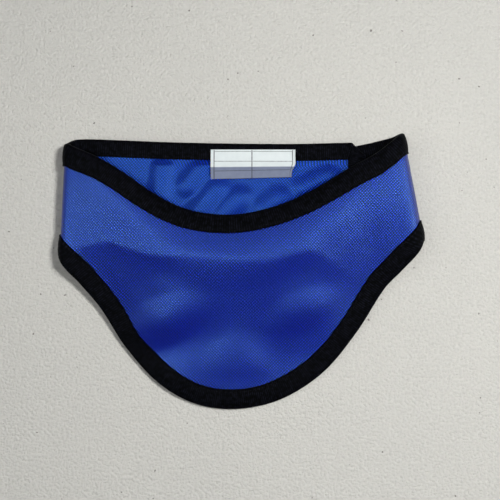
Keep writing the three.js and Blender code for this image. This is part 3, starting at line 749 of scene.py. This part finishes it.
def border_share(u, foot, edge_v, edge, reach):
    """How far down from the edge each row of the band reaches the tape's border: where its distance
    from the edge's line, near the foot of that column, is the tape's reach."""
    inward = 1 if edge_v == 0 else -1
    low, high = (np.full_like(u, share) for share in BORDER_SEARCH)
    nearest = np.searchsorted(edge["u"], (u + foot) / 2)
    window = np.arange(-NEAR_SAMPLES, NEAR_SAMPLES + 1)
    near = np.clip(nearest[:, None] + window, 0, len(edge["u"]) - 1)
    line = edge["points"][near]
    for _ in range(HALVINGS):
        middle = (low + high) / 2
        points = band(u, edge_v + inward * middle)
        far = np.linalg.norm(line - points[:, None, :], axis=2).min(axis=1)
        low, high = np.where(far < reach, middle, low), np.where(far < reach, high, middle)
    return edge_v + inward * softened(bridged(u, (low + high) / 2), BORDER_SMOOTHING)


def edge_columns(edge_v):
    """Columns of the tape along the neck edge (0) or the hem (1): where each starts on the edge, where
    it ends at the borders of both faces, and the running length of the tape."""
    dense = np.linspace(CORNER_CUT, BAND_LENGTH - CORNER_CUT, EDGE_SAMPLES)
    v_edge = np.full_like(dense, float(edge_v))
    along, down = tangents(dense, v_edge)
    down = down * (1 if edge_v == 0 else -1)
    flat = unit(along)
    slide = (down * flat).sum(-1)
    square = np.linalg.norm(down - flat * slide[:, None], axis=1)
    slant = softened(-slide / square / np.linalg.norm(along, axis=1), EDGE_SLANT_SMOOTHING)
    slant = slant * smooth((np.minimum(dense, BAND_LENGTH - dense) - SLANT_FREE_END) / SLANT_FADE)
    whole = np.linspace(0, BAND_LENGTH, LINE_SAMPLES)
    edge = dict(u=whole, points=band(whole, np.full_like(whole, float(edge_v))))
    run = running_length(band(dense, v_edge))
    count = int(run[-1] / RIB_PITCH) * RIB_COLUMNS + 1
    at = np.linspace(0, run[-1], count)
    u0 = np.interp(at, run, dense)
    columns = dict(run=at, u0=u0, v0=np.full_like(u0, float(edge_v)))
    for face, reach in (("outside", TAPE_OUTSIDE), ("inside", TAPE_INSIDE)):
        slid = np.interp(at, run, slant) * reach
        from_start = strap_fan(u0, reach)
        from_end = BAND_LENGTH - strap_fan(BAND_LENGTH - u0, reach)
        u1 = slid + np.where(u0 < BAND_LENGTH / 2, from_start, from_end)
        columns[face] = (u1, border_share(u1, u0, edge_v, edge, reach))
    return columns


def end_columns(at_start):
    """Columns of the tape round a cut strap end: the two cut corners and the end between them."""

    def place(from_end):
        return from_end if at_start else BAND_LENGTH - from_end

    depth = float(depth_at(np.array([place(CORNER_CUT)]))[0])

    def corners(edge, cut):
        """The four corners of the line that runs round the end, that far in from its edge."""
        return np.array([[cut, edge], [edge, cut], [edge, depth - cut], [cut, depth - edge]])

    outer = corners(0, CORNER_CUT)

    def points(reach):
        """Both ends of every column for one face's reach."""
        corner = reach + CORNER_SLACK
        inner = corners(reach, corner)
        starts, ends = [], []
        for i in range(3):
            length = np.linalg.norm(outer[i + 1] - outer[i])
            share = np.linspace(0, 1, int(length / RIB_PITCH * RIB_COLUMNS))[:, None]
            even = share
            if i == 1:
                fan = FAN_LENGTH / length
                skip = (corner - CORNER_CUT) / length
                near = np.minimum(share, 1 - share)
                bent = np.where(near < fan, skip + (fan - skip) * near / fan, near)
                bent = np.where(share < 0.5, bent, 1 - bent)
                even = (bent - skip) / (1 - 2 * skip)
            starts.append(lerp(outer[i], outer[i + 1], share)[1 if i else 0 :])
            ends.append(lerp(inner[i], inner[i + 1], even)[1 if i else 0 :])
        return np.concatenate(starts), np.concatenate(ends)

    start = points(TAPE_OUTSIDE)[0]
    run = running_length(start)
    start = np.stack([softened(start[:, i], CORNER_SMOOTHING) for i in (0, 1)], -1)
    columns = dict(run=run, u0=place(start[:, 0]), v0=start[:, 1] / depth)
    for face, reach in (("outside", TAPE_OUTSIDE), ("inside", TAPE_INSIDE)):
        end = points(reach)[1]
        columns[face] = (place(end[:, 0]), end[:, 1] / depth)
    return columns


def rib_shape(run):
    """The ribs' height along the tape, 0 in the grooves and 1 on the crests."""
    return 0.5 + 0.5 * np.cos(2 * math.pi * run / RIB_PITCH)


def tape_points(columns, section):
    """Points of every section at every column, with their weave coordinates."""
    depth, height, share = section.T
    rib = rib_shape(columns["run"])[:, None]
    near_border = smooth((depth - TAPE_INSIDE + BORDER_STRIP) / BORDER_STRIP)
    wave = BORDER_WAVE * (rib - 0.5) * near_border[None, :]
    u = np.empty((len(columns["run"]), len(depth)))
    v = np.empty_like(u)
    for face, reach, here in (
        ("outside", TAPE_OUTSIDE, height >= 0), ("inside", TAPE_INSIDE, height < 0),
    ):
        part = (depth[None, here] + wave[:, here]) / reach
        u[:, here] = lerp(columns["u0"][:, None], columns[face][0][:, None], part)
        v[:, here] = lerp(columns["v0"][:, None], columns[face][1][:, None], part)
    raised = RIB_HEIGHT * (rib - 1) * share[None, :]
    level = height[None, :] + np.sign(height)[None, :] * raised
    points = offset(u, v, level)
    run = np.broadcast_to(columns["run"][:, None], u.shape)
    lay = [run, np.broadcast_to(depth[None, :], u.shape), np.broadcast_to(height[None, :], u.shape)]
    return points, np.stack(lay, -1)


def tape(name, columns, material, flip):
    """One folded tape over its columns, closed at both ends."""
    section = tape_section()
    points, lay = tape_points(columns, section)
    wide, deep = points.shape[:2]
    faces = grid_faces(wide, deep, flip, wrap=True)
    first, last = list(range(deep)), list(range((wide - 1) * deep, wide * deep))
    faces += [first if flip else first[::-1], last[::-1] if flip else last]
    return add_piece(name, points.reshape(-1, 3) + SHIFT, faces, material, lay.reshape(-1, 3))


def stitches(name, columns, material):
    """A row of sewn stitches near the border of a tape, each a short bent capsule."""
    run = columns["run"]
    pitch = STITCH_LENGTH + STITCH_GAP
    count = int(run[-1] / pitch)
    sides = 6
    girth = np.array([0.35, 0.9, 1.0, 0.9, 0.35])
    rings = len(girth)
    steps = np.linspace(-0.5, 0.5, rings)
    turn = np.linspace(0, 2 * math.pi, sides, endpoint=False)
    centre = (np.arange(count)[:, None] + 0.5) * pitch + steps[None, :] * STITCH_LENGTH
    reach = (TAPE_OUTSIDE - STITCH_IN) / TAPE_OUTSIDE
    u = np.interp(centre, run, lerp(columns["u0"], columns["outside"][0], reach))
    v = np.interp(centre, run, lerp(columns["v0"], columns["outside"][1], reach))
    level = TAPE_OUTER - BORDER_DROP - STITCH_SINK - STITCH_DIP * (2 * np.abs(steps)) ** 2
    along, down = tangents(u, v)
    normal = unit(np.cross(along, down))
    sideways = unit(np.cross(normal, unit(along)))
    base = band(u, v) + normal * level[None, :, None]
    ring = STITCH_RADIUS * girth[None, :, None, None] * (
        np.cos(turn)[None, None, :, None] * sideways[:, :, None, :]
        + np.sin(turn)[None, None, :, None] * normal[:, :, None, :]
    )
    points = (base[:, :, None, :] + ring).reshape(-1, 3)
    size = rings * sides
    faces = []
    for first in range(0, count * size, size):
        last_ring = first + size - sides
        faces += grid_faces(rings, sides, True, first, wrap=True)
        faces.append(list(range(first, first + sides)))
        faces.append(list(range(last_ring, last_ring + sides))[::-1])
    return add_piece(name, points + SHIFT, faces, material)


def frame_shift():
    """What moves the band's own coordinates into the shared frame: the box's middle to the origin and
    its lowest point to the ground, worked out from the bare tapes."""
    bevel = 0.7
    side = TAPE_OUTER - bevel
    corners = [[0, side], [0, -side], [bevel, TAPE_OUTER], [bevel, -TAPE_OUTER]]
    section = np.column_stack([corners, np.zeros(len(corners))])
    every = np.concatenate([tape_points(edge_columns(v), section)[0].reshape(-1, 3) for v in (0, 1)])
    low, high = every.min(axis=0), every.max(axis=0)
    return np.array([-(low[0] + high[0]) / 2, -(low[1] + high[1]) / 2, -low[2]])


# The folded label: its ruled lines, each across or down it, with its place, width and two ends. Then
# the cloth's thickness, the rise at the crease, how far the loop at the end stands out, how far the
# lower right corner is pulled in, and how far the lower edge rises towards the right, all in mm.
LABEL_RULES = [
    dict(way="down", at=2.0, width=0.42, start=0.4, end=30.0),
    dict(way="down", at=24.3, width=0.42, start=0.4, end=30.0),
    dict(way="down", at=48.2, width=0.42, start=0.4, end=30.0),
    dict(way="across", at=1.2, width=0.2, start=2.0, end=48.2),
    dict(way="across", at=7.1, width=0.24, start=2.0, end=48.2),
    dict(way="across", at=13.3, width=0.24, start=2.0, end=48.2),
]
LABEL_SHEET = 0.3
LABEL_CREASE = 1.4
LABEL_LOOP = 0.45
LABEL_PULL = 2.2
LABEL_RISE = 1.3


def label_material():
    """White satin label with a ruled frame and two ruled lines, its cells bare, and painted shade on the
    flap below its crease.
    """
    graph = Graph("white_label", Roughness=0.4, Specular_IOR_Level=0.4, Sheen_Weight=0.1)
    place, axes = graph.lay()
    across, down = axes[0], axes[1]
    ink = 0.0
    for rule in LABEL_RULES:
        axis, other = (across, down) if rule["way"] == "down" else (down, across)
        far = graph.math("ABSOLUTE", graph.math("SUBTRACT", axis, rule["at"]))
        past = graph.math("GREATER_THAN", other, rule["start"])
        short = graph.math("LESS_THAN", other, rule["end"])
        soft = graph.span(far, rule["width"] / 2, rule["width"], to_low=1.0, to_high=0.0)
        line = graph.math("MULTIPLY", soft, graph.math("MULTIPLY", past, short))
        ink = graph.math("MAXIMUM", ink, line)
    worn = graph.span(graph.noise(place, scale=0.8, detail=3.0), 0.3, 0.7, to_low=0.6, to_high=0.95)
    faded = graph.math("MULTIPLY", ink, worn)
    clouds = graph.noise(place, scale=0.3, detail=3.0)
    cloth = graph.mix(clouds, colour(0.56, 0.62, 0.65), colour(0.66, 0.72, 0.74))
    # Below the crease the flap is painted darker and bluer: painted shade where it turns down away from
    # the light.
    shaded_flap = graph.mix(clouds, colour(0.13, 0.155, 0.24), colour(0.19, 0.225, 0.32))
    cloth = graph.mix(graph.span(down, LABEL_FLAT - 0.2, LABEL_FLAT + 0.3), cloth, shaded_flap)
    graph.join(graph.mix(faded, cloth, colour(0.03, 0.03, 0.045)), graph.shader.inputs["Base Color"])
    rib_pitch = 0.3
    ribs = graph.math("SINE", graph.math("MULTIPLY", down, 2 * math.pi / rib_pitch))
    weave = graph.math("ADD", graph.math("MULTIPLY", ribs, 0.3), graph.noise(place, scale=1.2))
    graph.join(graph.bump(weave, distance=0.00008), graph.shader.inputs["Normal"])
    return graph.material


def label(material):
    """The label folded double: its front falls over the tape, creases and ends in the loop."""
    seat = band(UPPER_START + LABEL_ALONG * UPPER_STRAP_LENGTH, 0.0)
    fall = TAPE_OUTER - PANEL / 2
    columns, flat_rows, slope_rows, loop_rows = 60, 26, 16, 8
    lie = UPPER_LEVEL + TAPE_OUTER + SEW_GAP
    top = LABEL_WALL
    end = LABEL_FLAT + LABEL_SLOPE
    flat = [(-LABEL_FLAT * t, top + LABEL_CREASE * t**2.5) for t in np.linspace(0, 1, flat_rows)]
    slope = [
        (-LABEL_FLAT - LABEL_SLOPE * t, top + LABEL_CREASE - (fall + LABEL_CREASE) * t)
        for t in np.linspace(0, 1, slope_rows)[1:]
    ]
    loop = [
        (-end - LABEL_LOOP * math.sin(a), top / 2 - fall + top / 2 * math.cos(a))
        for a in np.linspace(0, math.pi, loop_rows + 2)[1:-1]
    ]
    under = [(y, z - top) for y, z in reversed(flat + slope)]
    outer = np.array(flat + slope + loop + under)
    forward = np.gradient(outer, axis=0)
    inward = unit(np.stack([forward[:, 1], -forward[:, 0]], -1))
    inner = outer - inward * LABEL_SHEET
    inner[:, 0] = np.minimum(inner[:, 0], 0)
    profile = np.concatenate([outer, inner[::-1]])
    deep = len(profile)
    share = np.linspace(0, 1, columns)[:, None]
    y, z = profile[None, :, 0], profile[None, :, 1]
    low = smooth((-y - 0.7 * LABEL_FLAT) / (1.3 * LABEL_SLOPE))
    pull = LABEL_PULL * low * smooth((share - 0.9) / 0.1)
    x = LABEL_WIDTH * share - LABEL_WIDTH / 2 - pull
    y = y + LABEL_RISE * low * share
    ripple = 0.16 * np.sin(9.0 * share + 0.6) * low + 0.1 * np.sin(4.2 * share)
    points = np.stack([x, y, z + ripple + 0.1], -1)
    points += seat * [1, 1, 0] + [0, -LABEL_TOP, lie]
    down = running_length(profile)[None, :]
    lay = [np.broadcast_to(axis, (columns, deep)) for axis in (LABEL_WIDTH * share, down, 0.0)]
    faces = grid_faces(columns, deep, True, wrap=True)
    for first in (0, (columns - 1) * deep):
        for k in range(deep // 2 - 1):
            opposite = first + deep - 1 - k
            quad = [first + k, first + k + 1, opposite - 1, opposite]
            faces.append(quad if first == 0 else quad[::-1])
    lay = np.stack(lay, -1).reshape(-1, 3)
    return add_piece("folded_label", points.reshape(-1, 3) + SHIFT, faces, material, lay)


# The pieces, each standing for its solid.
SHIFT = frame_shift()
# Each cloth's colours: the dark one is painted shade in the weave's gaps, the light one is the blue with
# a painted highlight on the raised threads, then the tint of its gloss.
NYLON = nylon_material(
    "blue_nylon", colour(0.0003, 0.0006, 0.006), colour(0.02, 0.045, 1.0), colour(0.15, 0.37, 0.86)
)
LINING = nylon_material(
    "blue_lining", colour(0.0002, 0.002, 0.02), colour(0.014, 0.07, 1.0), colour(0.09, 0.3, 0.75)
)
TAPE = tape_material("black_tape")
THREAD = thread_material()

grid_u, grid_v = shell_grid()
cover = shell("cover_cloth", grid_u, grid_v, PANEL / 2, PANEL / 2 - COVER_WALL, NYLON)
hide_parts("outer_cover")
free = smooth((np.minimum(grid_v, 1 - grid_v) - LINING_HELD) / LINING_FADE)
lining = shell(
    "lining_cloth", grid_u, grid_v, -PANEL / 2, LINING_WALL - PANEL / 2, LINING,
    -lining_fold(grid_u, grid_v) * free,
)
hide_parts("inner_lining")

neck_columns = edge_columns(0)
hem_columns = edge_columns(1)
neck = tape("neck_tape", neck_columns, TAPE, True)
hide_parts("neck_binding")
hem = tape("hem_tape", hem_columns, TAPE, False)
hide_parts("hem_binding")
lower_end = tape("lower_end_tape", end_columns(True), TAPE, False)
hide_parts("lower_strap_end_binding")
upper_end = tape("upper_end_tape", end_columns(False), TAPE, True)
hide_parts("upper_strap_end_binding")
for name, columns in (("neck_stitches", neck_columns), ("hem_stitches", hem_columns)):
    stitches(name, columns, THREAD)

# Tufts to a metre: the hooks stand further apart than the loops.
for node, tufts in (("hook_patch", 700.0), ("loop_patch", 1500.0)):
    frame["nodes"][node].material_slots[0].material = closure_material(node + "_pile", tufts)

size_label = label(label_material())
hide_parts("size_label")


# Floor, light and camera. Lights are in metres and watts. Each looks at the origin from its azimuth,
# 0 at +X and 90 at +Y, and shows only in the gloss or only in the matt share of what it falls on.
FLOOR_HALF = 2.0
FLOOR_GAP = 0.0001
WARM = (1.0, 0.99, 0.97)
COOL = (0.97, 0.99, 1.0)
LIGHTS = [
    dict(name="window", azimuth=90, elevation=80, away=1.4, wide=2.0, high=2.4,
         power=20.5, tint=WARM, shows_in="gloss"),
    dict(name="ceiling", azimuth=190, elevation=62, away=1.4, wide=1.4, high=1.4,
         power=8.0, tint=WARM, shows_in="matt"),
    dict(name="left_window", azimuth=178, elevation=60, away=1.4, wide=0.35, high=0.4,
         power=5.5, tint=COOL, shows_in="gloss"),
    dict(name="left_edge_window", azimuth=180, elevation=26, away=1.2, wide=0.6, high=0.8,
         power=2.0, tint=COOL, shows_in="gloss"),
    dict(name="right_window", azimuth=2, elevation=58, away=1.4, wide=0.45, high=0.45,
         power=2.0, tint=WARM, shows_in="gloss"),
    dict(name="edge_window", azimuth=2, elevation=28, away=1.2, wide=0.6, high=1.0,
         power=9.5, tint=WARM, shows_in="gloss"),
    dict(name="lamp", azimuth=14, elevation=67, away=0.8, wide=0.12, high=0.12,
         power=6.6, tint=(1.0, 0.985, 0.95), shows_in="matt"),
]

# The camera, with its aim and its way off in mm. The lens and the sensor are in mm too.
CAMERA_AIM = (4.75, 12.89, 0)
CAMERA_AWAY = 480
CAMERA_TILT = 4
SENSOR = 36
LENS = 57.6


def floor():
    """The pale floor, with its grain, soft clouds and a few dark specks."""
    mesh = bpy.data.meshes.new("floor")
    corners = [(x * FLOOR_HALF, y * FLOOR_HALF, 0) for x, y in ((-1, -1), (1, -1), (1, 1), (-1, 1))]
    mesh.from_pydata(corners, [], [(0, 1, 2, 3)])
    plane = bpy.data.objects.new("floor", mesh)
    bpy.context.scene.collection.objects.link(plane)
    plane.location.z = -FLOOR_GAP
    graph = Graph("floor", Roughness=0.55, Specular_IOR_Level=0.3)
    place = graph.node("ShaderNodeTexCoord").outputs["Object"]
    grain = graph.noise(place, scale=620.0, detail=3.0, roughness=0.6)
    cloudy = graph.noise(place, scale=9.0)
    specks = graph.span(graph.noise(place, scale=260.0, detail=1.0), 0.76, 0.79)
    tone = graph.mix(cloudy, colour(0.57, 0.57, 0.55), colour(0.63, 0.625, 0.597))
    light = graph.mix(graph.span(grain, 0.3, 0.7, to_high=0.55), tone, colour(0.45, 0.45, 0.44))
    graph.join(graph.mix(specks, light, colour(0.2, 0.19, 0.18)), graph.shader.inputs["Base Color"])
    graph.join(graph.bump(grain, distance=0.0016), graph.shader.inputs["Normal"])
    mesh.materials.append(graph.material)


def area_light(name, azimuth, elevation, away, wide, high, power, tint, shows_in):
    """A rectangular light that looks at the origin."""
    data = bpy.data.lights.new(name, "AREA")
    data.shape = "RECTANGLE"
    data.size = wide
    data.size_y = high
    data.energy = power
    data.color = tint
    lamp = bpy.data.objects.new(name, data)
    lamp.visible_glossy = shows_in == "gloss"
    lamp.visible_diffuse = shows_in == "matt"
    a, e = math.radians(azimuth), math.radians(elevation)
    direction = Vector((math.cos(a) * math.cos(e), math.sin(a) * math.cos(e), math.sin(e)))
    lamp.location = direction * away
    lamp.rotation_mode = "QUATERNION"
    lamp.rotation_quaternion = direction.to_track_quat("Z", "Y")
    bpy.context.scene.collection.objects.link(lamp)


def camera():
    """Nearly straight down, on the point of the floor in the middle of the picture."""
    aim = Vector(CAMERA_AIM) * MM
    tilt = math.radians(CAMERA_TILT)
    back = Vector((0, -math.sin(tilt), math.cos(tilt)))
    data = bpy.data.cameras.new("camera")
    data.sensor_width = SENSOR
    data.lens = LENS
    eye = bpy.data.objects.new("camera", data)
    eye.location = aim + back * CAMERA_AWAY * MM
    eye.rotation_mode = "QUATERNION"
    eye.rotation_quaternion = back.to_track_quat("Z", "Y")
    bpy.context.scene.collection.objects.link(eye)
    bpy.context.scene.camera = eye


def world(strength, tint, backdrop):
    """A dim surround for the gloss, and a plain pale backdrop past the end of the floor."""
    scene = bpy.context.scene
    scene.world = bpy.data.worlds.new("studio")
    scene.world.use_nodes = True
    tree = scene.world.node_tree
    surround = tree.nodes["Background"]
    surround.inputs["Color"].default_value = tint
    surround.inputs["Strength"].default_value = strength
    pale = tree.nodes.new("ShaderNodeBackground")
    pale.inputs["Color"].default_value = backdrop
    mix = tree.nodes.new("ShaderNodeMixShader")
    tree.links.new(tree.nodes.new("ShaderNodeLightPath").outputs["Is Camera Ray"], mix.inputs[0])
    tree.links.new(surround.outputs[0], mix.inputs[1])
    tree.links.new(pale.outputs[0], mix.inputs[2])
    tree.links.new(mix.outputs[0], tree.nodes["World Output"].inputs["Surface"])


bpy.context.scene.view_settings.view_transform = "Standard"
floor()
world(strength=0.03, tint=colour(0.85, 0.93, 1.0), backdrop=colour(0.55, 0.55, 0.53))
for light in LIGHTS:
    area_light(**light)
camera()
